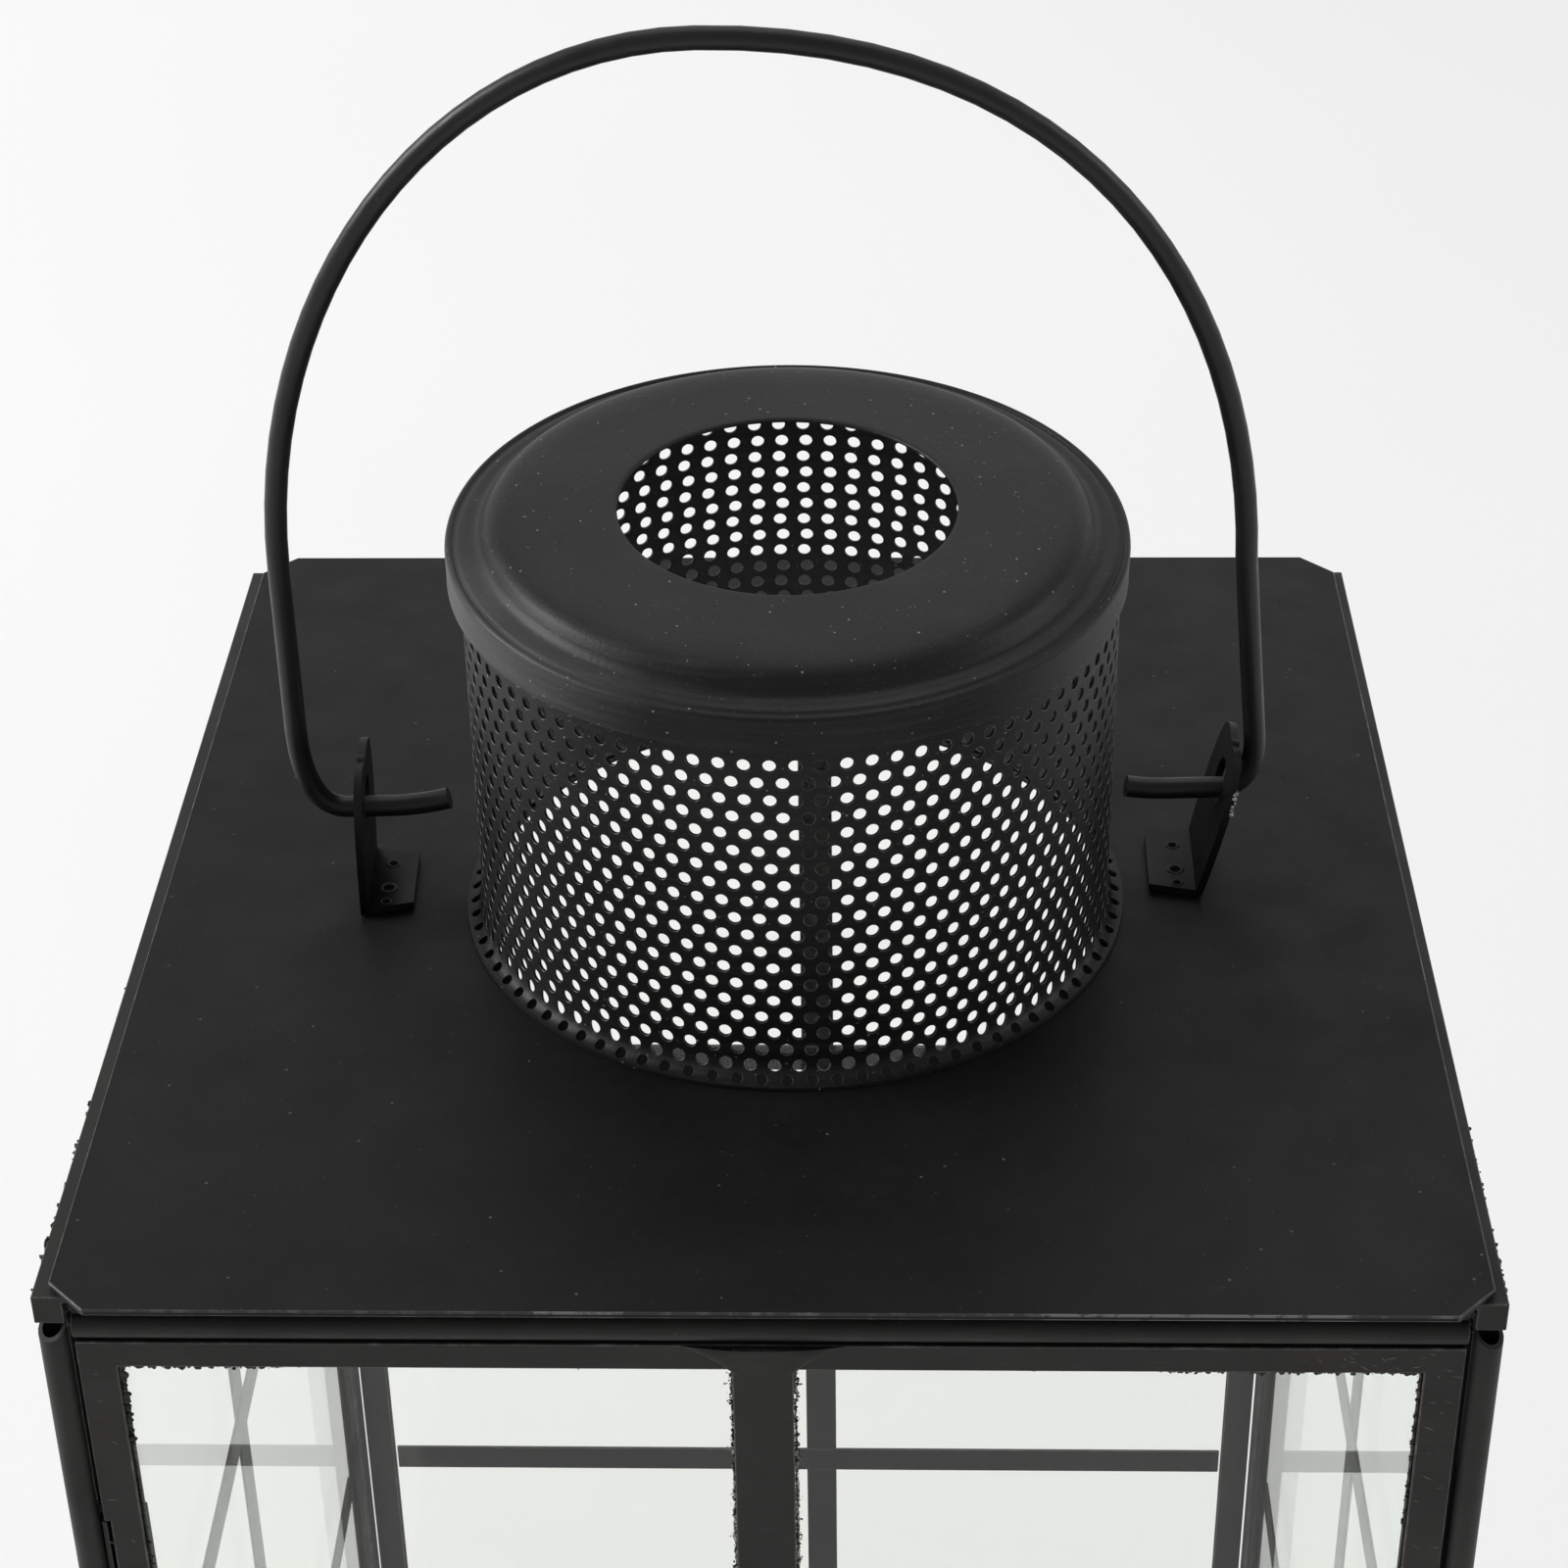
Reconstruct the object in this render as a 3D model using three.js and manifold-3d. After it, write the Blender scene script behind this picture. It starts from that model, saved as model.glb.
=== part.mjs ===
// Candle lantern: glazed square body, flat sheet roof, perforated round chimney and wire bail.
// Millimetres, +Z up. The origin is the centre of the underside of the base tray.
// The glazed door is the -Y wall and hinges on the front left post.

import * as THREE from 'three';
import { mergeVertices } from 'three/addons/utils/BufferGeometryUtils.js';
import Module from 'manifold-3d';

const wasm = await Module();
wasm.setup();

// ---------- driving dimensions ----------
const BODY_HALF = 100;
const BODY_HEIGHT = 330;
const TOUCH_GAP = 0.3;

const POST_RADIUS = 2.1;
const POST_BORE = 1.5;
const POST_AXIS = 98.1;
const POST_FOOT_Z = 1.2;
const POST_TOP_DROP = 5;
const POST_TOP_FALL = 1.6;
const POST_SLOPE_FORWARD = 0.52;
const POST_SLOPE_SIDE = 0.3;

const TRAY_HALF = 101.3;
const TRAY_WALL = 0.8;
const TRAY_HEIGHT = 10;

const FRAME_OUTER = 95.3;
const FRAME_FACE = 99;
const FRAME_DEPTH = 3.4;
const WINDOW_HALF = 89.8;
const WINDOW_BOTTOM = 18.3;
const WINDOW_TOP_DROP = 13.4;
const FRAME_TOP_DROP = 8.9;
const DOOR_BOTTOM = 10.6;

const GLASS_THICKNESS = 1.8;
const GLASS_BITE = 2.2;
const GLASS_CLEARANCE = 0.2;
const FRAME_LIP = 0.6;

const STRIP_THICKNESS = 0.7;
const BAR_WIDTH = 6;
const WALLS = {
  door: { turn: 0, uprightX: -0.6, uprightWidth: 8.4, barDrops: [114, 221] },
  left: { turn: -90, uprightX: -5, uprightWidth: 6.4, barDrops: [119, 221] },
  right: { turn: 90, uprightX: 1, uprightWidth: 6.4, barDrops: [118, 221] },
  back: { turn: 180, uprightX: -3.2, uprightWidth: 6.4, barDrops: [111, 221] },
};

const RING_INNER_HALF = 86;
const RING_THICKNESS = 1;
const BEAD_RADIUS = 2.2;
const BEAD_DROP = 6.4;
const BEAD_LINE = 97.6;
const WEB_THICKNESS = 1;
const CORNER_BLOCK = 4.2;
const CORNER_BLOCK_HEIGHT = 3.6;

const ROOF_LEFT = -97.7;
const ROOF_RIGHT = 98.3;
const ROOF_FRONT = -104;
const ROOF_BACK = 103.4;
const ROOF_THICKNESS = 1;
const ROOF_CORNER_CLIP = 5.6;
const ROOF_HOLE_RADIUS = 48.6;
const ROOF_HOLE_SHIFT = 1.6;

const CHIMNEY_X = 2.1;
const CHIMNEY_Y = -4.3;
const CHIMNEY_RADIUS = 49.1;
const CHIMNEY_WALL = 0.8;
const CHIMNEY_HEIGHT = 63.5;
const FOOT_RADIUS = 51.2;
const FOOT_FLARE_HEIGHT = 2.6;

const CAP_RADIUS = 50.6;
const CAP_SHEET = 0.6;
const CAP_BAND_BOTTOM = 59.8;
const CAP_BAND_TOP = 65.7;
const CAP_PLATEAU_RADIUS = 44;
const CAP_PLATEAU_TOP = 69.8;
const CAP_HOLE_RADIUS = 25.1;
// The cap sits slightly askew on the wall, its front lower than its back.
const CAP_SHIFT_X = -0.4;
const CAP_LIFT = 0.95;
const CAP_TILT_FORWARD = 2.36;
const CAP_TILT_SIDE = 0.57;
const CAP_TILT_HEIGHT = 62;

const PIVOT_HEIGHT = 16.6;
const PIVOT_Y = -0.8;
const BAIL_TURN = 2.45;
// The ears stand a little behind the pivot axis, so their holes lie forward of their middle.
const EAR_Y = 0.3;
const EAR_THICKNESS = 1.2;
const EAR_HALF_WIDTH = 8.8;
const EAR_FOOT_REACH = 7.6;
const EAR_FOOT_TAPER = 1.8;
const EAR_BULGE = 13.3;
const EAR_BULGE_HEIGHT = 27.4;
const EAR_TOP = 24;
const EAR_TIP_RADIUS = 1;
const EAR_HOLE_RADIUS = 3.7;
const EAR_HOLE_PLAY = 0.6;
const EARS = {
  left: { x: -65.6, side: -1, lean: 1.4, twist: 0 },
  right: { x: 65.6, side: 1, lean: 12.6, twist: -3.2 },
};

const WIRE_RADIUS = 1.7;
const BAIL_APEX_X = -10.2;
const BAIL_APEX_HEIGHT = 124.4;
const BAIL_LEFT_X = -74.6;
const BAIL_LEFT_SPRING = 42.3;
const BAIL_RIGHT_X = 70.6;
const BAIL_RIGHT_SPRING = 40.4;
const BAIL_RISE_CURVE = 46.2;
const BAIL_LEFT_CROWN_CURVE = 36;
const BAIL_RIGHT_CROWN_CURVE = 52.5;
const BAIL_RIGHT_FOOT_X = 73.6;
const BAIL_FOOT_BEND = 10;
const BAIL_LEFT_TIP_X = -51.8;
const BAIL_LEFT_TIP_RISE = 1.2;
const BAIL_RIGHT_TIP_X = 54;
const BAIL_RIGHT_TIP_RISE = 0.6;
const BAIL_END_STRAIGHT = 6.4;
const BAIL_BEND_CURVE = 6.6;
const BAIL_STEPS = 76;

const STRAP_HEIGHT = 30;
const STRAP_INNER_RADIUS = 2.4;
const STRAP_OUTER_RADIUS = 3.1;
const STRAP_FROM = -10;
const STRAP_TO = 140;
const STRAP_LEAF_END = -89.9;
const STRAP_NOTCH_PLAY = 0.5;
const DOOR_NOTCH_DEPTH = 0.9;
const WALL_NOTCH_DEPTH = 1.6;
const STRAP_UPPER_Z = BODY_HEIGHT - 73.5;
const STRAP_LOWER_Z = 50;

const KNOB_X = 92.7;
const KNOB_Z = 165;
const BUTTON_X = 78;
const BUTTON_Z = 5.2;
const BUTTON_LENGTH = 14;
const BUTTON_HALF_WIDTH = 3;
const BUTTON_TIP_RADIUS = 2;
const BUTTON_THICKNESS = 1;
const RIVET_RADIUS = 1.1;
const RIVET_HEAD_RADIUS = 2.3;
const RIVET_HEAD_HEIGHT = 1;
const STOP_HEIGHT = 260;
const STOP_LIP = 3.6;
const HARDWARE_SHEET = 0.8;

const ROOF_Z = BODY_HEIGHT + TOUCH_GAP;
const ROOF_TOP = ROOF_Z + ROOF_THICKNESS;
const ON_ROOF = ROOF_TOP + TOUCH_GAP;
const WINDOW_TOP = BODY_HEIGHT - WINDOW_TOP_DROP;
const FRAME_TOP = BODY_HEIGHT - FRAME_TOP_DROP;
const FRAME_BACK = FRAME_FACE - FRAME_DEPTH;

const ROUND_SEGMENTS = 56;
const WIRE_SEGMENTS = 10;
const POST_SEGMENTS = 20;

// ---------- materials ----------
function paint(color, roughness, metalness = 0.35) {
  return new THREE.MeshStandardMaterial({ color, roughness, metalness });
}

const roofPaint = paint(0x24262a, 0.55);
const framePaint = paint(0x2d2b28, 0.6);
const wirePaint = paint(0x1d1e20, 0.45);
const glass = new THREE.MeshStandardMaterial({
  color: 0xe3ebe6,
  roughness: 0.05,
  metalness: 0,
  transparent: true,
  opacity: 0.3,
});

// ---------- solid helpers ----------
function closedGeometry(geometry) {
  const bare = geometry.index ? geometry.toNonIndexed() : geometry.clone();
  bare.deleteAttribute('normal');
  bare.deleteAttribute('uv');
  return mergeVertices(bare, 1e-4);
}

function toSolid(geometry) {
  const merged = closedGeometry(geometry);
  return new wasm.Manifold(new wasm.Mesh({
    numProp: 3,
    vertProperties: new Float32Array(merged.attributes.position.array),
    triVerts: new Uint32Array(merged.index.array),
  }));
}

function toGeometry(solid) {
  const mesh = solid.getMesh();
  const geometry = new THREE.BufferGeometry();
  geometry.setAttribute('position', new THREE.BufferAttribute(mesh.vertProperties, 3));
  geometry.setIndex(new THREE.BufferAttribute(mesh.triVerts, 1));
  return geometry;
}

function join(...geometries) {
  return toGeometry(geometries.map(toSolid).reduce((sum, solid) => sum.add(solid)));
}

function cut(geometry, ...cutters) {
  return toGeometry(cutters.map(toSolid).reduce((rest, solid) => rest.subtract(solid), toSolid(geometry)));
}

function block(x0, x1, y0, y1, z0, z1) {
  const geometry = new THREE.BoxGeometry(x1 - x0, y1 - y0, z1 - z0);
  return geometry.translate((x0 + x1) / 2, (y0 + y1) / 2, (z0 + z1) / 2);
}

function upright(radius, x, y, z0, z1, segments) {
  const geometry = new THREE.CylinderGeometry(radius, radius, z1 - z0, segments);
  return geometry.rotateX(Math.PI / 2).translate(x, y, (z0 + z1) / 2);
}

// Turns a closed [radius, height] outline about the Z axis, with its faces pointing out.
function turned(outline, segments) {
  const points = outline.map(([radius, height]) => new THREE.Vector2(radius, height));
  const area = points.reduce((sum, p, i) => sum + p.cross(points[(i + 1) % points.length]), 0);
  if (area < 0) points.reverse();
  points.push(points[0].clone());
  return new THREE.LatheGeometry(points, segments).rotateX(Math.PI / 2);
}

function plate(shape, thickness, curveSegments = 12) {
  return new THREE.ExtrudeGeometry(shape, { depth: thickness, bevelEnabled: false, curveSegments });
}

const lantern = new THREE.Group();
lantern.name = 'candle_lantern';

function addPiece(parent, name, geometry, material) {
  const mesh = new THREE.Mesh(geometry, material.clone());
  mesh.name = name;
  parent.add(mesh);
  return mesh;
}

// ---------- body ----------
function baseTray() {
  const inner = TRAY_HALF - TRAY_WALL;
  const outside = block(-TRAY_HALF, TRAY_HALF, -TRAY_HALF, TRAY_HALF, 0, TRAY_HEIGHT);
  const hollow = block(-inner, inner, -inner, inner, TRAY_WALL, TRAY_HEIGHT + 1);
  const bore = new THREE.CylinderGeometry(RIVET_RADIUS + TOUCH_GAP, RIVET_RADIUS + TOUCH_GAP, 4, 16);
  bore.translate(BUTTON_X, -TRAY_HALF, BUTTON_Z);
  return cut(outside, hollow, bore);
}

// A post is an open tube whose top end slopes down towards the outer corner.
function cornerPost(sideX, sideY) {
  const x = sideX * POST_AXIS;
  const y = sideY * POST_AXIS;
  const top = BODY_HEIGHT - POST_TOP_DROP;
  const outside = upright(POST_RADIUS, x, y, POST_FOOT_Z, top, POST_SEGMENTS);
  const bore = upright(POST_BORE, x, y, 0, top + 1, POST_SEGMENTS);
  const reach = 5 * POST_RADIUS;
  const slopeCut = block(-reach, reach, -reach, reach, 0, reach);
  slopeCut.rotateX(-sideY * POST_SLOPE_FORWARD);
  slopeCut.rotateY(sideX * POST_SLOPE_SIDE);
  slopeCut.translate(x, y, top - POST_TOP_FALL);
  return cut(outside, bore, slopeCut);
}

// The ring under the roof: a flat frame, a rolled bead along each side and a block at each corner.
function topFrame() {
  const z = BODY_HEIGHT;
  const ring = block(-BODY_HALF, BODY_HALF, -BODY_HALF, BODY_HALF, z - RING_THICKNESS, z);
  const hole = RING_INNER_HALF;
  const opening = block(-hole, hole, -hole, hole, z - CORNER_BLOCK, z + 1);
  const pieces = [cut(ring, opening)];
  for (const quarter of [0, 1, 2, 3]) {
    const bead = new THREE.CylinderGeometry(BEAD_RADIUS, BEAD_RADIUS, 2 * FRAME_OUTER, 12);
    bead.rotateZ(Math.PI / 2).translate(0, -BEAD_LINE, z - BEAD_DROP);
    const webFront = -BEAD_LINE - WEB_THICKNESS / 2;
    const webBack = -BEAD_LINE + WEB_THICKNESS / 2;
    const web = block(-FRAME_OUTER, FRAME_OUTER, webFront, webBack, z - BEAD_DROP, z - RING_THICKNESS / 2);
    const inside = BODY_HALF - CORNER_BLOCK;
    const blockFoot = z - RING_THICKNESS - CORNER_BLOCK_HEIGHT;
    const corner = block(-BODY_HALF, -inside, -BODY_HALF, -inside, blockFoot, z - RING_THICKNESS / 2);
    for (const piece of [bead, web, corner]) pieces.push(piece.rotateZ(quarter * Math.PI / 2));
  }
  return join(...pieces);
}

function roofSheet() {
  const outline = new THREE.Shape();
  const clip = ROOF_CORNER_CLIP;
  outline.moveTo(ROOF_LEFT + clip, ROOF_FRONT);
  outline.lineTo(ROOF_RIGHT - clip, ROOF_FRONT);
  outline.lineTo(ROOF_RIGHT, ROOF_FRONT + clip);
  outline.lineTo(ROOF_RIGHT, ROOF_BACK - clip);
  outline.lineTo(ROOF_RIGHT - clip, ROOF_BACK);
  outline.lineTo(ROOF_LEFT + clip, ROOF_BACK);
  outline.lineTo(ROOF_LEFT, ROOF_BACK - clip);
  outline.lineTo(ROOF_LEFT, ROOF_FRONT + clip);
  outline.closePath();
  const hole = new THREE.Path();
  hole.absarc(CHIMNEY_X, CHIMNEY_Y + ROOF_HOLE_SHIFT, ROOF_HOLE_RADIUS, 0, 2 * Math.PI, true);
  outline.holes.push(hole);
  return plate(outline, ROOF_THICKNESS, ROUND_SEGMENTS / 2).translate(0, 0, ROOF_Z);
}

// ---------- walls: built facing -Y, then turned to their side ----------
function wallFrame(bottom) {
  const solid = block(-FRAME_OUTER, FRAME_OUTER, -FRAME_FACE, -FRAME_BACK, bottom, FRAME_TOP);
  const window = block(
    -WINDOW_HALF, WINDOW_HALF, -FRAME_FACE - 1, -FRAME_BACK + 1, WINDOW_BOTTOM, WINDOW_TOP,
  );
  const reach = GLASS_BITE + TOUCH_GAP;
  const groove = block(
    -WINDOW_HALF - reach, WINDOW_HALF + reach,
    -FRAME_FACE + FRAME_LIP, -FRAME_BACK - FRAME_LIP,
    WINDOW_BOTTOM - reach, WINDOW_TOP + reach,
  );
  return cut(solid, window, groove);
}

// Notches along one upright edge, where the hinge straps pass.
function strapNotches(x0, x1) {
  const cutters = [STRAP_UPPER_Z, STRAP_LOWER_Z].map((z) => block(
    x0, x1, -FRAME_FACE - 1, -FRAME_BACK + 1,
    z - STRAP_NOTCH_PLAY, z + STRAP_HEIGHT + STRAP_NOTCH_PLAY,
  ));
  return cutters;
}

function doorFrame() {
  return cut(wallFrame(DOOR_BOTTOM), ...strapNotches(-FRAME_OUTER - 1, -FRAME_OUTER + DOOR_NOTCH_DEPTH));
}

function leftFrame() {
  return cut(wallFrame(POST_FOOT_Z), ...strapNotches(FRAME_OUTER - WALL_NOTCH_DEPTH, FRAME_OUTER + 1));
}

function glassSheet() {
  const face = -FRAME_FACE + FRAME_LIP + GLASS_CLEARANCE;
  return block(
    -WINDOW_HALF - GLASS_BITE, WINDOW_HALF + GLASS_BITE, face, face + GLASS_THICKNESS,
    WINDOW_BOTTOM - GLASS_BITE, WINDOW_TOP + GLASS_BITE,
  );
}

// The cross bars lie on the glass between the stiles; the upright laps over them and the rails.
function crossBar(drop) {
  const z = BODY_HEIGHT - drop;
  const back = -FRAME_FACE + FRAME_LIP + GLASS_CLEARANCE - TOUCH_GAP;
  const end = WINDOW_HALF - TOUCH_GAP;
  return block(-end, end, back - STRIP_THICKNESS, back, z - BAR_WIDTH / 2, z + BAR_WIDTH / 2);
}

function uprightStrip(x, width) {
  const back = -FRAME_FACE - TOUCH_GAP;
  const foot = DOOR_BOTTOM + 0.6;
  return block(x - width / 2, x + width / 2, back - STRIP_THICKNESS, back, foot, FRAME_TOP);
}

function addWall(name, frameGeometry) {
  const wall = WALLS[name];
  const side = new THREE.Group();
  side.rotation.z = THREE.MathUtils.degToRad(wall.turn);
  lantern.add(side);
  addPiece(side, name === 'door' ? 'door_frame' : `wall_frame_${name}`, frameGeometry, framePaint);
  addPiece(side, `glass_${name}`, glassSheet(), glass);
  addPiece(side, `upright_strip_${name}`, uprightStrip(wall.uprightX, wall.uprightWidth), framePaint);
  addPiece(side, `cross_bar_${name}_upper`, crossBar(wall.barDrops[0]), framePaint);
  addPiece(side, `cross_bar_${name}_lower`, crossBar(wall.barDrops[1]), framePaint);
}

// ---------- door hardware ----------
// A strap hooks behind the hinge post and its leaf lies on the inner face of the door.
function hingeStrap(z) {
  const from = THREE.MathUtils.degToRad(STRAP_FROM);
  const to = THREE.MathUtils.degToRad(STRAP_TO);
  const hook = new THREE.Shape();
  hook.absarc(0, 0, STRAP_OUTER_RADIUS, from, to, false);
  hook.absarc(0, 0, STRAP_INNER_RADIUS, to, from, true);
  hook.closePath();
  const curl = plate(hook, STRAP_HEIGHT, 14).translate(-POST_AXIS, -POST_AXIS, z);
  const leafFront = -FRAME_BACK + TOUCH_GAP;
  const leafBack = leafFront + HARDWARE_SHEET;
  const top = z + STRAP_HEIGHT;
  const leaf = block(-POST_AXIS, STRAP_LEAF_END, leafFront, leafBack, z, top);
  const sheet = STRAP_OUTER_RADIUS - STRAP_INNER_RADIUS;
  const root = block(-POST_AXIS - sheet, -POST_AXIS + sheet, leafFront - sheet / 2, leafBack, z, top);
  return join(curl, leaf, root);
}

function doorKnob() {
  const flange = 2.6;
  const stem = 1.6;
  const ball = 3.4;
  const outline = [
    [0, 0], [flange, 0], [flange, 0.8], [stem, 1.6], [stem, 3.4],
    [0.85 * ball, 4.6], [ball, 6.2], [0.85 * ball, 7.8], [stem, 8.8], [0, 9.1],
  ];
  const points = outline.map(([radius, height]) => new THREE.Vector2(radius, height));
  const knob = new THREE.LatheGeometry(points, 24);
  return knob.rotateX(Math.PI).translate(KNOB_X, -FRAME_FACE - TOUCH_GAP, KNOB_Z);
}

// Stops the free edge of the door from swinging inwards.
function doorStop() {
  const front = -FRAME_BACK + TOUCH_GAP;
  const right = FRAME_BACK - TOUCH_GAP;
  const z0 = (BODY_HEIGHT - STOP_HEIGHT) / 2;
  const lip = block(right - STOP_LIP, right, front, front + HARDWARE_SHEET, z0, z0 + STOP_HEIGHT);
  const leaf = block(right - HARDWARE_SHEET, right, front, front + 2 * STOP_LIP, z0, z0 + STOP_HEIGHT);
  return join(lip, leaf);
}

function turnButton() {
  const outline = new THREE.Shape();
  outline.absarc(0, 0, BUTTON_HALF_WIDTH, Math.PI / 2, 1.5 * Math.PI, false);
  outline.absarc(BUTTON_LENGTH - BUTTON_TIP_RADIUS, 0, BUTTON_TIP_RADIUS, -Math.PI / 2, Math.PI / 2, false);
  outline.closePath();
  const hole = new THREE.Path();
  hole.absarc(0, 0, RIVET_RADIUS + TOUCH_GAP, 0, 2 * Math.PI, true);
  outline.holes.push(hole);
  const button = plate(outline, BUTTON_THICKNESS, 12).rotateX(Math.PI / 2);
  return button.translate(BUTTON_X, -TRAY_HALF - TOUCH_GAP, BUTTON_Z);
}

function buttonRivet() {
  const headBack = TRAY_HALF + 2 * TOUCH_GAP + BUTTON_THICKNESS;
  const headFront = headBack + RIVET_HEAD_HEIGHT;
  const innerFace = TRAY_HALF - TRAY_WALL - TOUCH_GAP;
  const head = new THREE.CylinderGeometry(
    RIVET_HEAD_RADIUS, 0.75 * RIVET_HEAD_RADIUS, RIVET_HEAD_HEIGHT, 20,
  );
  head.rotateX(Math.PI).translate(0, -(headFront + headBack) / 2, 0);
  const shankLength = headBack - innerFace + RIVET_HEAD_HEIGHT;
  const shank = new THREE.CylinderGeometry(RIVET_RADIUS, RIVET_RADIUS, shankLength, 16);
  shank.translate(0, -(headBack + innerFace) / 2, 0);
  return join(head, shank).translate(BUTTON_X, 0, BUTTON_Z);
}

// ---------- chimney ----------
function chimneyWall() {
  const outer = CHIMNEY_RADIUS;
  const inner = CHIMNEY_RADIUS - CHIMNEY_WALL;
  const foot = ON_ROOF + FOOT_FLARE_HEIGHT;
  const top = BODY_HEIGHT + CHIMNEY_HEIGHT;
  return turned([[inner, foot], [outer, foot], [outer, top], [inner, top]], ROUND_SEGMENTS);
}

// The flared foot curves out from the wall and rests flat on the roof.
function chimneyFoot() {
  const sheet = CHIMNEY_WALL;
  const inner = CHIMNEY_RADIUS - sheet;
  const top = FOOT_FLARE_HEIGHT - TOUCH_GAP;
  const outline = [
    [inner, top], [inner, 1.1 * sheet], [inner + 0.6 * sheet, 0.4 * sheet], [inner + 1.5 * sheet, 0],
    [FOOT_RADIUS, 0], [FOOT_RADIUS, sheet], [CHIMNEY_RADIUS + 1.1 * sheet, 1.1 * sheet],
    [CHIMNEY_RADIUS + 0.4 * sheet, 1.6 * sheet], [CHIMNEY_RADIUS, top],
  ];
  return turned(outline.map(([radius, height]) => [radius, height + ON_ROOF]), ROUND_SEGMENTS);
}

// Outer face of the cap, from the band's lower edge to the rim of the hole.
function capOutline(inset) {
  const band = CAP_RADIUS - inset;
  const plateau = CAP_PLATEAU_TOP - inset;
  const shoulder = CAP_PLATEAU_RADIUS - inset;
  const shelf = CAP_BAND_TOP - inset;
  return [
    [band, CAP_BAND_BOTTOM],
    [band, shelf - 0.6],
    [band - 0.4, shelf],
    [band - 1.6, shelf],
    [shoulder + 2.8, shelf + 0.1],
    [shoulder + 1.7, shelf + 0.7],
    [shoulder + 0.8, shelf + 1.7],
    [shoulder - 0.2, plateau - 1.3],
    [shoulder - 1.9, plateau - 0.5],
    [shoulder - 4.2, plateau - 0.1],
    [shoulder - 7, plateau],
    [CAP_HOLE_RADIUS, plateau],
  ];
}

function chimneyCap() {
  const outline = [...capOutline(0), ...capOutline(CAP_SHEET).reverse()];
  const cap = turned(outline, ROUND_SEGMENTS).translate(0, 0, -CAP_TILT_HEIGHT);
  cap.rotateX(THREE.MathUtils.degToRad(CAP_TILT_FORWARD));
  cap.rotateY(THREE.MathUtils.degToRad(CAP_TILT_SIDE));
  return cap.translate(CAP_SHIFT_X, 0, BODY_HEIGHT + CAP_TILT_HEIGHT + CAP_LIFT);
}

function onChimneyAxis(geometry) {
  return geometry.translate(CHIMNEY_X, CHIMNEY_Y, 0);
}

// ---------- bail and its ears ----------
function earTab() {
  const w = EAR_HALF_WIDTH;
  const tip = EAR_TIP_RADIUS;
  const outline = new THREE.Shape();
  outline.moveTo(-w, 0);
  outline.lineTo(w, 0);
  outline.quadraticCurveTo(EAR_BULGE, EAR_BULGE_HEIGHT, tip, EAR_TOP - tip / 2);
  outline.quadraticCurveTo(0, EAR_TOP + tip / 4, -tip, EAR_TOP - tip / 2);
  outline.quadraticCurveTo(-EAR_BULGE, EAR_BULGE_HEIGHT, -w, 0);
  const pivotAboveRoof = BODY_HEIGHT + PIVOT_HEIGHT - ON_ROOF;
  const holeRise = EAR_HOLE_RADIUS - WIRE_RADIUS - EAR_HOLE_PLAY;
  const hole = new THREE.Path();
  hole.absarc(-EAR_Y, pivotAboveRoof + holeRise, EAR_HOLE_RADIUS, 0, 2 * Math.PI, true);
  outline.holes.push(hole);
  const tab = plate(outline, EAR_THICKNESS, 10);
  return tab.translate(0, 0, -EAR_THICKNESS / 2).rotateX(Math.PI / 2).rotateZ(Math.PI / 2);
}

// The foot points in, towards the chimney.
function earFoot(side) {
  const w = EAR_HALF_WIDTH;
  const outline = new THREE.Shape();
  outline.moveTo(-EAR_THICKNESS / 2, -w);
  outline.lineTo(EAR_FOOT_REACH, -w + EAR_FOOT_TAPER);
  outline.lineTo(EAR_FOOT_REACH, w - EAR_FOOT_TAPER);
  outline.lineTo(-EAR_THICKNESS / 2, w);
  outline.closePath();
  const foot = plate(outline, EAR_THICKNESS, 2);
  return side > 0 ? foot.rotateZ(Math.PI) : foot;
}

function bailEar({ x, side, lean, twist }) {
  const tab = earTab().rotateY(THREE.MathUtils.degToRad(lean)).translate(0, 0, 0.2);
  const ear = join(earFoot(side), tab).rotateZ(THREE.MathUtils.degToRad(twist));
  return ear.translate(x, EAR_Y, ON_ROOF - BODY_HEIGHT - PIVOT_HEIGHT);
}

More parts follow.
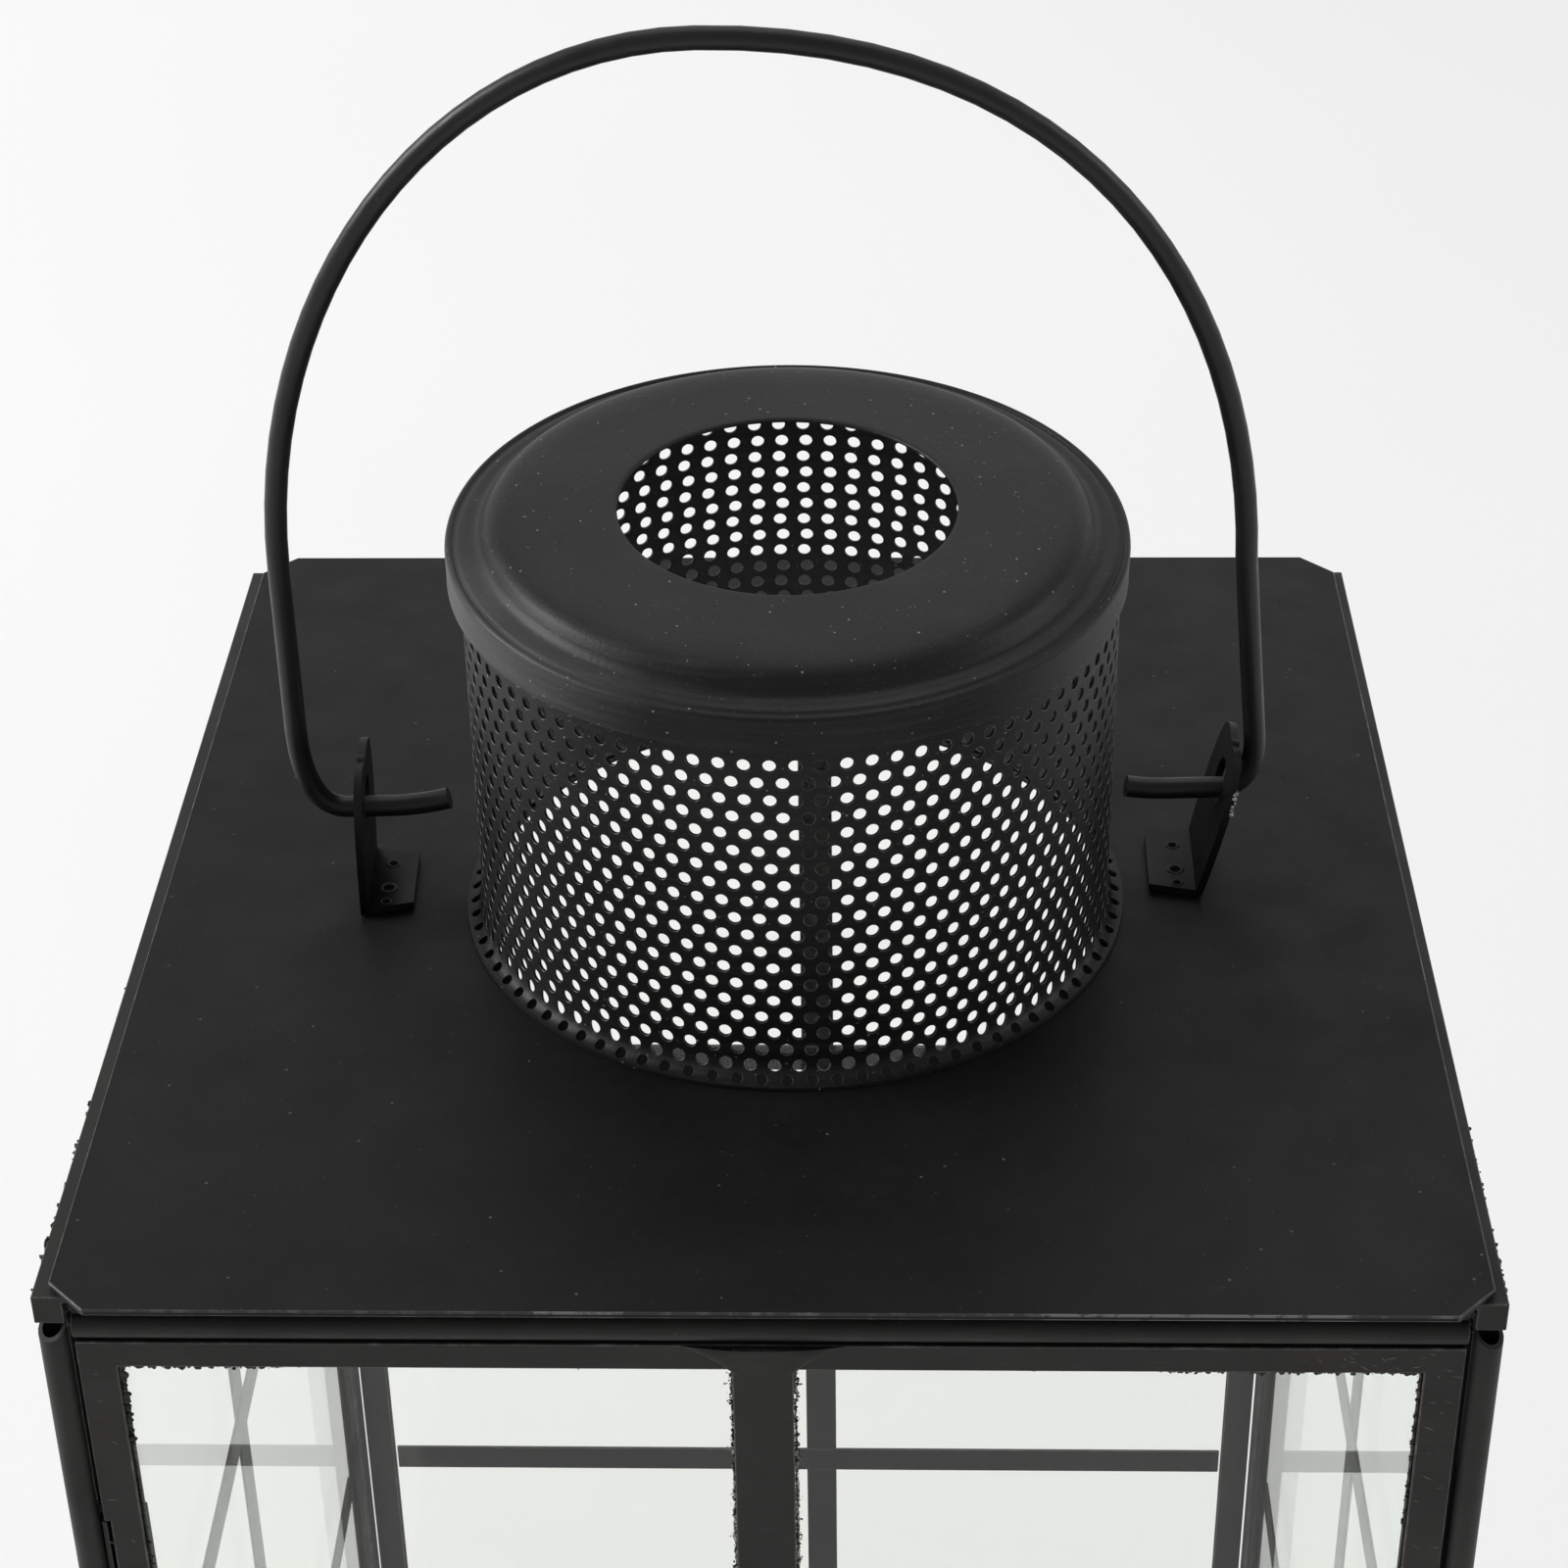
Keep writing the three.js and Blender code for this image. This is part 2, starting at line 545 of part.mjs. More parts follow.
// Centre line of the bent wire, in the plane of the bail, from the left tip to the right tip.
function bailPath() {
  const rise = BAIL_RISE_CURVE;
  const leftX = BAIL_LEFT_X;
  const rightX = BAIL_RIGHT_X;
  const footX = BAIL_RIGHT_FOOT_X;
  const bend = BAIL_FOOT_BEND;
  const path = new THREE.Path();
  const leftStraight = leftX + 2.1 * BAIL_END_STRAIGHT;
  const rightStraight = footX - 2.1 * BAIL_END_STRAIGHT;
  path.moveTo(BAIL_LEFT_TIP_X, BAIL_LEFT_TIP_RISE);
  path.quadraticCurveTo((BAIL_LEFT_TIP_X + leftStraight) / 2, 0, leftStraight, 0);
  path.lineTo(leftStraight - BAIL_END_STRAIGHT, 0);
  path.bezierCurveTo(leftX + bend / 3, 0, leftX, bend - BAIL_BEND_CURVE, leftX, 1.5 * bend);
  path.lineTo(leftX, BAIL_LEFT_SPRING);
  path.bezierCurveTo(
    leftX, BAIL_LEFT_SPRING + rise,
    BAIL_APEX_X - BAIL_LEFT_CROWN_CURVE, BAIL_APEX_HEIGHT, BAIL_APEX_X, BAIL_APEX_HEIGHT,
  );
  path.bezierCurveTo(
    BAIL_APEX_X + BAIL_RIGHT_CROWN_CURVE, BAIL_APEX_HEIGHT,
    rightX - 1.4, BAIL_RIGHT_SPRING + rise, rightX, BAIL_RIGHT_SPRING,
  );
  path.lineTo(footX, bend);
  path.bezierCurveTo(footX + 0.8, bend - BAIL_BEND_CURVE, footX - bend / 6, 0, footX - bend / 2, 0);
  path.lineTo(rightStraight, 0);
  path.quadraticCurveTo((BAIL_RIGHT_TIP_X + rightStraight) / 2, 0, BAIL_RIGHT_TIP_X, BAIL_RIGHT_TIP_RISE);
  return path;
}

function bailWire() {
  const points = bailPath().getSpacedPoints(BAIL_STEPS).map((p) => new THREE.Vector3(p.x, 0, p.y));
  const section = new THREE.Shape();
  section.absarc(0, 0, WIRE_RADIUS, 0, 2 * Math.PI, false);
  return new THREE.ExtrudeGeometry(section, {
    steps: BAIL_STEPS,
    curveSegments: WIRE_SEGMENTS / 2,
    bevelEnabled: false,
    extrudePath: new THREE.CatmullRomCurve3(points),
  });
}

// ---------- assembly ----------
addPiece(lantern, 'base_tray', baseTray(), framePaint);
for (const [depthName, sideY] of [['front', -1], ['back', 1]]) {
  for (const [widthName, sideX] of [['left', -1], ['right', 1]]) {
    addPiece(lantern, `post_${depthName}_${widthName}`, cornerPost(sideX, sideY), framePaint);
  }
}
addPiece(lantern, 'top_frame', topFrame(), framePaint);
addPiece(lantern, 'roof_sheet', roofSheet(), roofPaint);

addWall('door', doorFrame());
addWall('left', leftFrame());
addWall('right', wallFrame(POST_FOOT_Z));
addWall('back', wallFrame(POST_FOOT_Z));

addPiece(lantern, 'hinge_strap_upper', hingeStrap(STRAP_UPPER_Z), framePaint);
addPiece(lantern, 'hinge_strap_lower', hingeStrap(STRAP_LOWER_Z), framePaint);
addPiece(lantern, 'door_knob', doorKnob(), wirePaint);
addPiece(lantern, 'door_stop', doorStop(), framePaint);
addPiece(lantern, 'turn_button', turnButton(), framePaint);
addPiece(lantern, 'turn_button_rivet', buttonRivet(), wirePaint);

addPiece(lantern, 'chimney_wall', onChimneyAxis(chimneyWall()), roofPaint);
addPiece(lantern, 'chimney_foot', onChimneyAxis(chimneyFoot()), roofPaint);
addPiece(lantern, 'chimney_cap', onChimneyAxis(chimneyCap()), roofPaint);

const pivot = new THREE.Group();
pivot.position.set(0, PIVOT_Y, BODY_HEIGHT + PIVOT_HEIGHT);
pivot.rotation.z = THREE.MathUtils.degToRad(BAIL_TURN);
lantern.add(pivot);
addPiece(pivot, 'bail_ear_left', bailEar(EARS.left), roofPaint);
addPiece(pivot, 'bail_ear_right', bailEar(EARS.right), roofPaint);
addPiece(pivot, 'bail_wire', bailWire(), wirePaint);

export default lantern;
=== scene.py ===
"""Candle lantern: the looks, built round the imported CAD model. Metres, +Z up, door facing -Y."""

import math
import random

import bmesh
import bpy
from mathutils import Matrix, Vector, noise


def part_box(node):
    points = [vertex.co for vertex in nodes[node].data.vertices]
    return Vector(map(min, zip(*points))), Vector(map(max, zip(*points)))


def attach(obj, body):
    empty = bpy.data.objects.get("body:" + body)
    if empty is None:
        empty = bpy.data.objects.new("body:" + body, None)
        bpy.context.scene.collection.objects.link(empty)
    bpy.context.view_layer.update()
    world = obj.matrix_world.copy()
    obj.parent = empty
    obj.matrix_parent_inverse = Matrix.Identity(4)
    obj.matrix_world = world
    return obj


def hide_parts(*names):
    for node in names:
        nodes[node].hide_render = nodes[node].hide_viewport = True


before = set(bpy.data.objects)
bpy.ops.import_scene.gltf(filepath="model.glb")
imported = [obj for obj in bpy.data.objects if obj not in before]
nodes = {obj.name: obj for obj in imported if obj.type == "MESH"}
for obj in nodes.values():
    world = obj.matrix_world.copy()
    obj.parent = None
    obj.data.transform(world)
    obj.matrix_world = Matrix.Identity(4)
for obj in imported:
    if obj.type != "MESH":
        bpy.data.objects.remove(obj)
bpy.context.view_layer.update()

MM = 0.001

# ---------- places taken from the frame ----------
RING_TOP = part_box("top_frame")[1].z
ROOF_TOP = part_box("roof_sheet")[1].z
WALL_LOW, WALL_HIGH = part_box("chimney_wall")
FOOT_LOW, FOOT_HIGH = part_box("chimney_foot")
CHIMNEY_X = (WALL_LOW.x + WALL_HIGH.x) / 2
CHIMNEY_Y = (WALL_LOW.y + WALL_HIGH.y) / 2
WALL_RADIUS = (WALL_HIGH.x - WALL_LOW.x) / 2
FOOT_RADIUS = (FOOT_HIGH.x - FOOT_LOW.x) / 2
BAND_FOOT = RING_TOP + 58 * MM
FRONT_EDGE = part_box("roof_sheet")[0].y + 1 * MM


# ---------- node materials ----------
class Nodes:
    """A material with short calls for making and joining its nodes."""

    def __init__(self, name):
        self.material = bpy.data.materials.new(name)
        self.material.use_nodes = True
        self.tree = self.material.node_tree
        self.tree.nodes.clear()
        self.output = self.tree.nodes.new("ShaderNodeOutputMaterial")
        self.place = self.tree.nodes.new("ShaderNodeTexCoord").outputs["Object"]
        self.axes = self.feed(self.add("SeparateXYZ"), {0: self.place}).outputs

    def add(self, kind, **settings):
        node = self.tree.nodes.new("ShaderNode" + kind)
        for key, value in settings.items():
            setattr(node, key, value)
        return node

    def join(self, source, target):
        self.tree.links.new(source, target)

    def feed(self, node, values):
        for key, value in values.items():
            if isinstance(value, bpy.types.NodeSocket):
                self.join(value, node.inputs[key])
            else:
                node.inputs[key].default_value = value
        return node

    def stretched(self, scale):
        node = self.feed(self.add("Mapping"), {"Vector": self.place, "Scale": scale})
        return node.outputs["Vector"]

    def cloud(self, scale, detail=3.0, rough=0.55, vector=None):
        values = {"Vector": vector or self.place, "Scale": scale, "Detail": detail, "Roughness": rough}
        return self.feed(self.add("TexNoise"), values).outputs["Fac"]

    def cells(self, scale, vector=None):
        return self.feed(self.add("TexVoronoi"), {"Vector": vector or self.place, "Scale": scale})

    def ramp(self, value, low, high, to_low=0.0, to_high=1.0):
        values = {"Value": value, "From Min": low, "From Max": high, "To Min": to_low, "To Max": to_high}
        return self.feed(self.add("MapRange"), values).outputs["Result"]

    def math(self, operation, a, b=0.0):
        node = self.add("Math", operation=operation)
        return self.feed(node, {0: a, 1: b}).outputs[0]

    def blend(self, amount, a, b):
        node = self.add("Mix", data_type="RGBA")
        return self.feed(node, {"Factor": amount, "A": a, "B": b}).outputs["Result"]

    def bump(self, height, strength, depth):
        node = self.feed(self.add("Bump"), {"Height": height, "Strength": strength, "Distance": depth})
        return node.outputs["Normal"]

    def finish(self, **values):
        named = {key.replace("_", " "): value for key, value in values.items()}
        shader = self.feed(self.add("BsdfPrincipled"), named)
        self.join(shader.outputs["BSDF"], self.output.inputs["Surface"])
        return self.material


def grey(level, warmth=0.0):
    """A near-black colour; warmth above 0 leans to brown, below 0 to blue."""
    return (level * (1 + warmth), level, level * (1 - warmth), 1.0)


def dust(n, density, size, seed_shift=0.0):
    """1 on small scattered specks and 0 elsewhere."""
    moved = n.feed(n.add("Mapping"), {"Vector": n.place, "Location": (seed_shift,) * 3})
    cells = n.cells(1 / size, moved.outputs["Vector"])
    near = n.ramp(cells.outputs["Distance"], 0.05, 0.12, 1.0, 0.0)
    chance = n.math("FRACT", n.math("MULTIPLY", cells.outputs["Color"], 7.31))
    picked = n.ramp(chance, 1 - density, 1 - density + 0.01)
    return n.math("MULTIPLY", near, picked)


def black_paint(
    name, level, warmth, rough, brush=(1, 1, 1), brush_depth=0.0, speck=0.02, rub=0.25, gloss=0.3,
):
    """Matt black paint: cloudy tone, fine grain, brush lines, rubbed patches and dust specks."""
    n = Nodes(name)
    tone = n.ramp(n.cloud(38, 4), 0.3, 0.7, 0.72, 1.3)
    rubbed = n.math("MULTIPLY", n.ramp(n.cloud(120, 6, 0.7), 0.56, 0.78), rub)
    lines = n.cloud(420, 3, 0.6, n.stretched(brush))
    base = n.blend(n.ramp(tone, 0.7, 1.3), grey(level * 0.7, warmth), grey(level * 1.35, warmth))
    base = n.blend(rubbed, base, grey(level * 3.2, warmth * 0.6))
    base = n.blend(n.math("MULTIPLY", n.ramp(lines, 0.52, 0.75), 0.22), base, grey(level * 2.6, warmth))
    specks = n.math("ADD", dust(n, speck, 2.4 * MM), dust(n, speck, 1.1 * MM, 0.37))
    base = n.blend(n.math("MULTIPLY", n.math("MINIMUM", specks, 1.0), 0.7), base, grey(0.11))
    powder = n.ramp(n.cloud(2300, 2), 0.66, 0.76)
    base = n.blend(n.math("MULTIPLY", powder, 0.3), base, grey(level * 4, warmth))
    grain = n.cloud(1500, 2)
    height = n.math("ADD", n.math("MULTIPLY", grain, 0.35), n.math("MULTIPLY", lines, brush_depth))
    height = n.math("ADD", height, n.math("MULTIPLY", n.cloud(55, 2), 2.2))
    uneven = n.ramp(n.cloud(90, 4), 0.3, 0.7, rough - 0.06, rough + 0.08)
    roughness = n.math("ADD", uneven, n.math("MULTIPLY", specks, 0.2))
    return n.finish(
        Base_Color=base, Roughness=roughness, Specular_IOR_Level=gloss,
        Normal=n.bump(height, 0.5, 0.12 * MM),
    )


def worn_edge(name, level, warmth, knocked=()):
    """Paint rubbed thin along a sheet's edge, down to grey metal in places and where it was knocked."""
    n = Nodes(name)
    bare = n.ramp(n.cloud(260, 5, 0.7), 0.5, 0.68)
    for low, high in knocked:
        past_low = n.math("GREATER_THAN", n.axes["X"], low)
        inside = n.math("MULTIPLY", past_low, n.math("LESS_THAN", n.axes["X"], high))
        at_front = n.math("LESS_THAN", n.axes["Y"], FRONT_EDGE)
        spots = n.ramp(n.cloud(420, 4, 0.7), 0.38, 0.5)
        patch = n.math("MULTIPLY", n.math("MULTIPLY", inside, at_front), spots)
        bare = n.math("MAXIMUM", bare, n.math("MULTIPLY", patch, 1.6))
    base = n.blend(n.math("MULTIPLY", bare, 0.9), grey(level * 1.5, warmth), grey(0.13, 0.02))
    rough = n.ramp(n.cloud(300, 3), 0.3, 0.7, 0.36, 0.52)
    grain = n.bump(n.cloud(900), 0.4, 0.1 * MM)
    return n.finish(Base_Color=base, Roughness=rough, Specular_IOR_Level=0.45, Normal=grain)


def chimney_paint():
    """Satin black with horizontal rub marks and fine dust; the left of the cap's band carries a painted
    highlight, laid on as lighter rub marks.
    """
    n = Nodes("chimney_paint")
    rubs = n.cloud(190, 5, 0.65, n.stretched((0.22, 0.22, 6)))
    tone = n.ramp(n.cloud(34, 4), 0.3, 0.7)
    base = n.blend(tone, grey(0.0075, -0.02), grey(0.0135, 0.0))
    # Painted highlight: the left of the cap's band is lightened in the pattern of the rub marks, where
    # light falls on that side.
    leftward = n.ramp(n.axes["X"], -16 * MM, -40 * MM)
    on_band = n.math("MULTIPLY", leftward, n.ramp(n.axes["Z"], BAND_FOOT, BAND_FOOT + MM))
    off_shoulder = n.ramp(n.axes["Z"], BAND_FOOT + 10 * MM, BAND_FOOT + 7 * MM)
    band_left_painted_highlight = n.math("MULTIPLY", on_band, off_shoulder)
    base = n.blend(n.math("MULTIPLY", n.ramp(rubs, 0.52, 0.78), 0.3), base, grey(0.055, 0.02))
    rubs_with_painted_highlight = n.math("MULTIPLY", band_left_painted_highlight, n.ramp(rubs, 0.3, 0.68, 0.25, 0.8))
    base = n.blend(rubs_with_painted_highlight, base, grey(0.105, 0.01))
    specks = n.math("ADD", dust(n, 0.25, 1.9 * MM), dust(n, 0.2, 1.1 * MM, 0.61))
    base = n.blend(n.math("MULTIPLY", n.math("MINIMUM", specks, 1.0), 0.85), base, grey(0.26))
    powder = n.ramp(n.cloud(2100, 2), 0.62, 0.76)
    base = n.blend(n.math("MULTIPLY", powder, 0.5), base, grey(0.05))
    rough = n.math("ADD", n.ramp(rubs, 0.3, 0.7, 0.38, 0.48), n.math("MULTIPLY", specks, 0.2))
    height = n.math("ADD", n.math("MULTIPLY", n.cloud(1300, 2), 0.7), n.math("MULTIPLY", rubs, 1.2))
    grain = n.bump(height, 0.5, 0.1 * MM)
    return n.finish(Base_Color=base, Roughness=rough, Specular_IOR_Level=0.2, Normal=grain)


def wire_paint():
    """Smooth satin black wire with draw lines along it and a few nicks."""
    n = Nodes("wire_paint")
    nicks = n.ramp(n.cloud(700, 4, 0.7), 0.68, 0.76)
    base = n.blend(n.ramp(n.cloud(60, 3), 0.3, 0.7), grey(0.007, 0.05), grey(0.013, 0.08))
    base = n.blend(n.math("MULTIPLY", nicks, 0.5), base, grey(0.09, 0.04))
    rough = n.ramp(n.cloud(240, 3), 0.3, 0.7, 0.34, 0.46)
    grain = n.bump(n.cloud(900, 3), 0.35, 0.08 * MM)
    return n.finish(Base_Color=base, Roughness=rough, Specular_IOR_Level=0.34, Normal=grain)


# How much of clear glass's full mirror strength the panes show.
GLASS_MIRROR = 0.6


def clear_glass():
    """Thin clear sheet: see-through, faintly grey green, with mirror reflections that grow at a slant."""
    n = Nodes("clear_glass")
    back = n.add("NewGeometry").outputs["Backfacing"]
    slant = n.feed(n.add("Fresnel"), {"IOR": n.ramp(back, 0, 1, 1.5, 1 / 1.5)}).outputs["Fac"]
    smudge = n.ramp(n.cloud(26, 5, 0.6), 0.35, 0.8)
    tint = n.blend(smudge, (0.990, 0.995, 0.984, 1), (0.980, 0.986, 0.975, 1))
    clear = n.feed(n.add("BsdfTransparent"), {"Color": tint})
    shine = n.feed(n.add("BsdfGlossy"), {"Color": (0.95, 0.97, 0.96, 1), "Roughness": 0.02})
    mirror = n.math("MULTIPLY", slant, GLASS_MIRROR)
    mix = n.feed(n.add("MixShader"), {"Fac": mirror, 1: clear.outputs[0], 2: shine.outputs[0]})
    n.join(mix.outputs[0], n.output.inputs["Surface"])
    return n.material


def residue(name, pale, dark):
    """Something pale, patchy and rough with dark flecks, such as old glue or chipped paint."""
    n = Nodes(name)
    flecks = n.ramp(n.cloud(1300, 4, 0.7), 0.45, 0.58)
    base = n.blend(flecks, pale, dark)
    rough = n.ramp(n.cloud(800), 0.3, 0.7, 0.5, 0.8)
    return n.finish(Base_Color=base, Roughness=rough, Normal=n.bump(n.cloud(1500), 0.8, 0.3 * MM))


def black_pit():
    """The sooty bottom of a spot weld."""
    n = Nodes("black_pit")
    base = n.blend(n.ramp(n.cloud(900, 3), 0.3, 0.7), grey(0.001), grey(0.005))
    grain = n.bump(n.cloud(900), 0.5, 0.1 * MM)
    return n.finish(Base_Color=base, Roughness=0.9, Specular_IOR_Level=0.05, Normal=grain)


def dark_solder():
    """Solder under paint: lumpy and a little shinier than the sheet round it."""
    n = Nodes("dark_solder")
    base = n.blend(n.ramp(n.cloud(300, 4), 0.35, 0.7), grey(0.010, 0.10), grey(0.026, 0.08))
    rough = n.ramp(n.cloud(500), 0.3, 0.7, 0.42, 0.6)
    lumps = n.bump(n.cloud(420, 4), 0.6, 0.4 * MM)
    return n.finish(Base_Color=base, Roughness=rough, Specular_IOR_Level=0.3, Normal=lumps)


PAINT = {
    "roof_paint": black_paint("roof_paint", 0.0048, -0.02, 0.5, speck=0.1, rub=0.12, gloss=0.18),
    "frame_paint": black_paint(
        "frame_paint", 0.0135, 0.09, 0.5, brush=(0.12, 0.12, 3), brush_depth=0.9, gloss=0.26,
    ),
    "ear_paint": black_paint("ear_paint", 0.0052, 0.05, 0.5, speck=0.04, rub=0.2, gloss=0.2),
    "chimney_paint": chimney_paint(),
    "wire_paint": wire_paint(),
    "clear_glass": clear_glass(),
}
# The two stretches of the roof's front edge, along X, where the paint was knocked off.
KNOCKED = ((-31 * MM, -19 * MM), (37 * MM, 79 * MM))
EDGE = {
    "roof_paint": worn_edge("roof_edge", 0.014, 0.0, KNOCKED),
    "frame_paint": worn_edge("frame_edge", 0.022, 0.07),
    "ear_paint": worn_edge("ear_edge", 0.03, 0.02),
    "chimney_paint": worn_edge("chimney_edge", 0.03, 0.0),
    "wire_paint": worn_edge("wire_edge", 0.02, 0.0),
}
GLUE = residue("glue_residue", (0.50, 0.48, 0.44, 1), (0.03, 0.026, 0.022, 1))
SOLDER = dark_solder()
PIT = black_pit()
BARE = worn_edge("bare_scratch", 0.09, 0.04)
CHIPS = residue("bare_chips", (0.55, 0.53, 0.50, 1), (0.10, 0.095, 0.09, 1))


# ---------- mesh helpers ----------
def place(mesh, name, body, *, stands_for=()):
    """Put a mesh into the scene on its body, hiding the CAD nodes it stands for."""
    piece = bpy.data.objects.new(name, mesh)
    bpy.context.scene.collection.objects.link(piece)
    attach(piece, body)
    if stands_for:
        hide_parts(*stands_for)
    return piece


def mesh_from(name, points, faces, materials, smooth_angle=35):
    """A shaded mesh from its points, faces and materials."""
    mesh = bpy.data.meshes.new(name)
    mesh.from_pydata([tuple(p) for p in points], [], faces)
    for material in materials:
        mesh.materials.append(material)
    shade(mesh, smooth_angle)
    return mesh


def shade(mesh, smooth_angle):
    """Smooth shading, kept sharp across edges that turn by more than the angle, in degrees."""
    for polygon in mesh.polygons:
        polygon.use_smooth = True
    mesh.set_sharp_from_angle(angle=math.radians(smooth_angle))


def softened(node, body, slot, edge_mm, segments=2, paint=None):
    """The CAD node's own shape with its edges broken, the narrow new faces taking the worn edge finish."""
    form = bmesh.new()
    form.from_mesh(nodes[node].data)
    bmesh.ops.remove_doubles(form, verts=form.verts, dist=1e-6)
    bmesh.ops.dissolve_limit(form, angle_limit=math.radians(0.6), verts=form.verts, edges=form.edges)
    mesh = bpy.data.meshes.new(node + "_fine")
    form.to_mesh(mesh)
    form.free()
    mesh.materials.append(PAINT[paint or slot])
    mesh.materials.append(EDGE[slot])
    for polygon in mesh.polygons:
        polygon.material_index = 0
    shade(mesh, 35)
    piece = place(mesh, node + "_fine", body, stands_for=[node])
    bevel = piece.modifiers.new("broken_edges", "BEVEL")
    bevel.width = edge_mm * MM
    bevel.segments = segments
    bevel.limit_method = "ANGLE"
    bevel.angle_limit = math.radians(40)
    bevel.material = 1
    bevel.harden_normals = True
    return piece


def turned(profile, around):
    """Points and quads of a closed profile of (radius, height) turned about Z."""
    points = []
    for i in range(around):
        turn = 2 * math.pi * i / around
        points += [(r * math.cos(turn), r * math.sin(turn), z) for r, z in profile]
    count = len(profile)
    faces = []
    for i in range(around):
        here, there = i * count, (i + 1) % around * count
        for k in range(count):
            after = (k + 1) % count
            faces.append((here + k, there + k, there + after, here + after))
    return points, faces


def smooth_line(knots, per_span=8):
    """Points along a Catmull-Rom curve through the knots."""
    ends = [knots[0]] + list(knots) + [knots[-1]]
    line = []
    for i in range(1, len(ends) - 2):
        a, b, c, d = (Vector(p) for p in ends[i - 1:i + 3])
        for k in range(per_span):
            t = k / per_span
            square = (2 * a - 5 * b + 4 * c - d) * t * t
            cube = (3 * b - a - 3 * c + d) * t ** 3
            line.append(0.5 * (2 * b + (c - a) * t + square + cube))
    line.append(Vector(knots[-1]))
    return line


# ---------- chimney ----------
HOLES_AROUND = 82
HOLE_ROWS = 20
HOLE_RADIUS = 1.0 * MM
FOOT_HOLE_RADIUS = 0.85 * MM
FIRST_ROW_Z = RING_TOP + 58.7 * MM
LAST_ROW_Z = RING_TOP + 4.15 * MM
ROW_STEP = (FIRST_ROW_Z - LAST_ROW_Z) / (HOLE_ROWS - 1)
# Where round the wall the first hole stands, in pitches.
HOLE_PHASE = 0.95
SHEET = 0.5 * MM
# The sheet was punched a little unevenly: wider apart at the back, with the rows less staggered there.
PITCH_SPREAD = 0.0425
BACK_SLIDE = 0.19
FLARE_START = FOOT_HIGH.z + 0.3 * MM
FLARE_BEND = 2.3 * MM
FOOT_ROW_INSET = 1.25 * MM
FOOT_RIM = 0.25 * MM
HOLE_BEVEL = 0.08 * MM
ROUND_POINTS = 16


def sheet_point(turn, down, depth):
    """A point on the rolled sheet, a way down its outer face from the top and a depth behind it."""
    turn = turn - PITCH_SPREAD * math.cos(turn)
    straight = WALL_HIGH.z - FLARE_START
    if down <= straight:
        radius, height = WALL_RADIUS - depth, WALL_HIGH.z - down
    else:
        bend = min((down - straight) / FLARE_BEND, math.pi / 2)
        past = max(down - straight - FLARE_BEND * math.pi / 2, 0)
        reach = FLARE_BEND + depth
        radius = WALL_RADIUS + FLARE_BEND - reach * math.cos(bend) + past
        height = FLARE_START - reach * math.sin(bend)
    return Vector((CHIMNEY_X + radius * math.cos(turn), CHIMNEY_Y + radius * math.sin(turn), height))


def hole_cell(points, faces, marks, centre, slide, hole_radius, top, bottom, width):
    """One hole in its piece of sheet: both faces, a small bevel on the outer rim, and the hole's wall."""
    turn, down = centre
    half = width / 2
    frame_spots = [
        (-half, top), (0, top), (half, top), (half, down),
        (half, bottom), (0, bottom), (-half, bottom), (-half, down),
    ]
    rings = []
    steps = (
        (0, None), (0, hole_radius + HOLE_BEVEL),
        (HOLE_BEVEL, hole_radius), (SHEET, hole_radius), (SHEET, None),
    )
    for depth, radius in steps:
        start = len(points)
        if radius is None:
            points += [sheet_point(turn + x / WALL_RADIUS, y, depth) for x, y in frame_spots]
        else:
            for k in range(ROUND_POINTS):
                angle = math.radians(225) + 2 * math.pi * k / ROUND_POINTS
                x = slide + radius * math.cos(angle)
                y = down + radius * math.sin(angle)
                points.append(sheet_point(turn + x / WALL_RADIUS, y, depth))
        rings.append(start)
    outer, rim, lip, inner, back = rings
    for i in range(8):
        after = (i + 1) % 8
        a, b, c = 2 * i, 2 * i + 1, (2 * i + 2) % ROUND_POINTS
        faces.append((outer + i, outer + after, rim + c, rim + b, rim + a))
        faces.append((back + after, back + i, inner + a, inner + b, inner + c))
        marks += [0, 0]
    for k in range(ROUND_POINTS):
        after = (k + 1) % ROUND_POINTS
        faces.append((rim + k, rim + after, lip + after, lip + k))
        faces.append((lip + k, lip + after, inner + after, inner + k))
        marks += [1, 0]


def plain_band(points, faces, marks, levels, columns, shift, width):
    """Unpierced sheet between the given levels, with the sheet's edge closed at its open end."""
    loop = [(down, 0) for down in levels] + [(down, SHEET) for down in reversed(levels)]
    start = len(points)
    for i in range(columns):
        points += [sheet_point((shift + i * width) / WALL_RADIUS, down, depth) for down, depth in loop]
    count = len(loop)
    for i in range(columns):
        here, there = start + i * count, start + (i + 1) % columns * count
        for k in range(count):
            after = (k + 1) % count
            joins_cells = k == len(levels) - 1 if levels[0] == 0 else k == count - 1
            if not joins_cells:
                faces.append((here + after, there + after, there + k, here + k))
                marks.append(0)


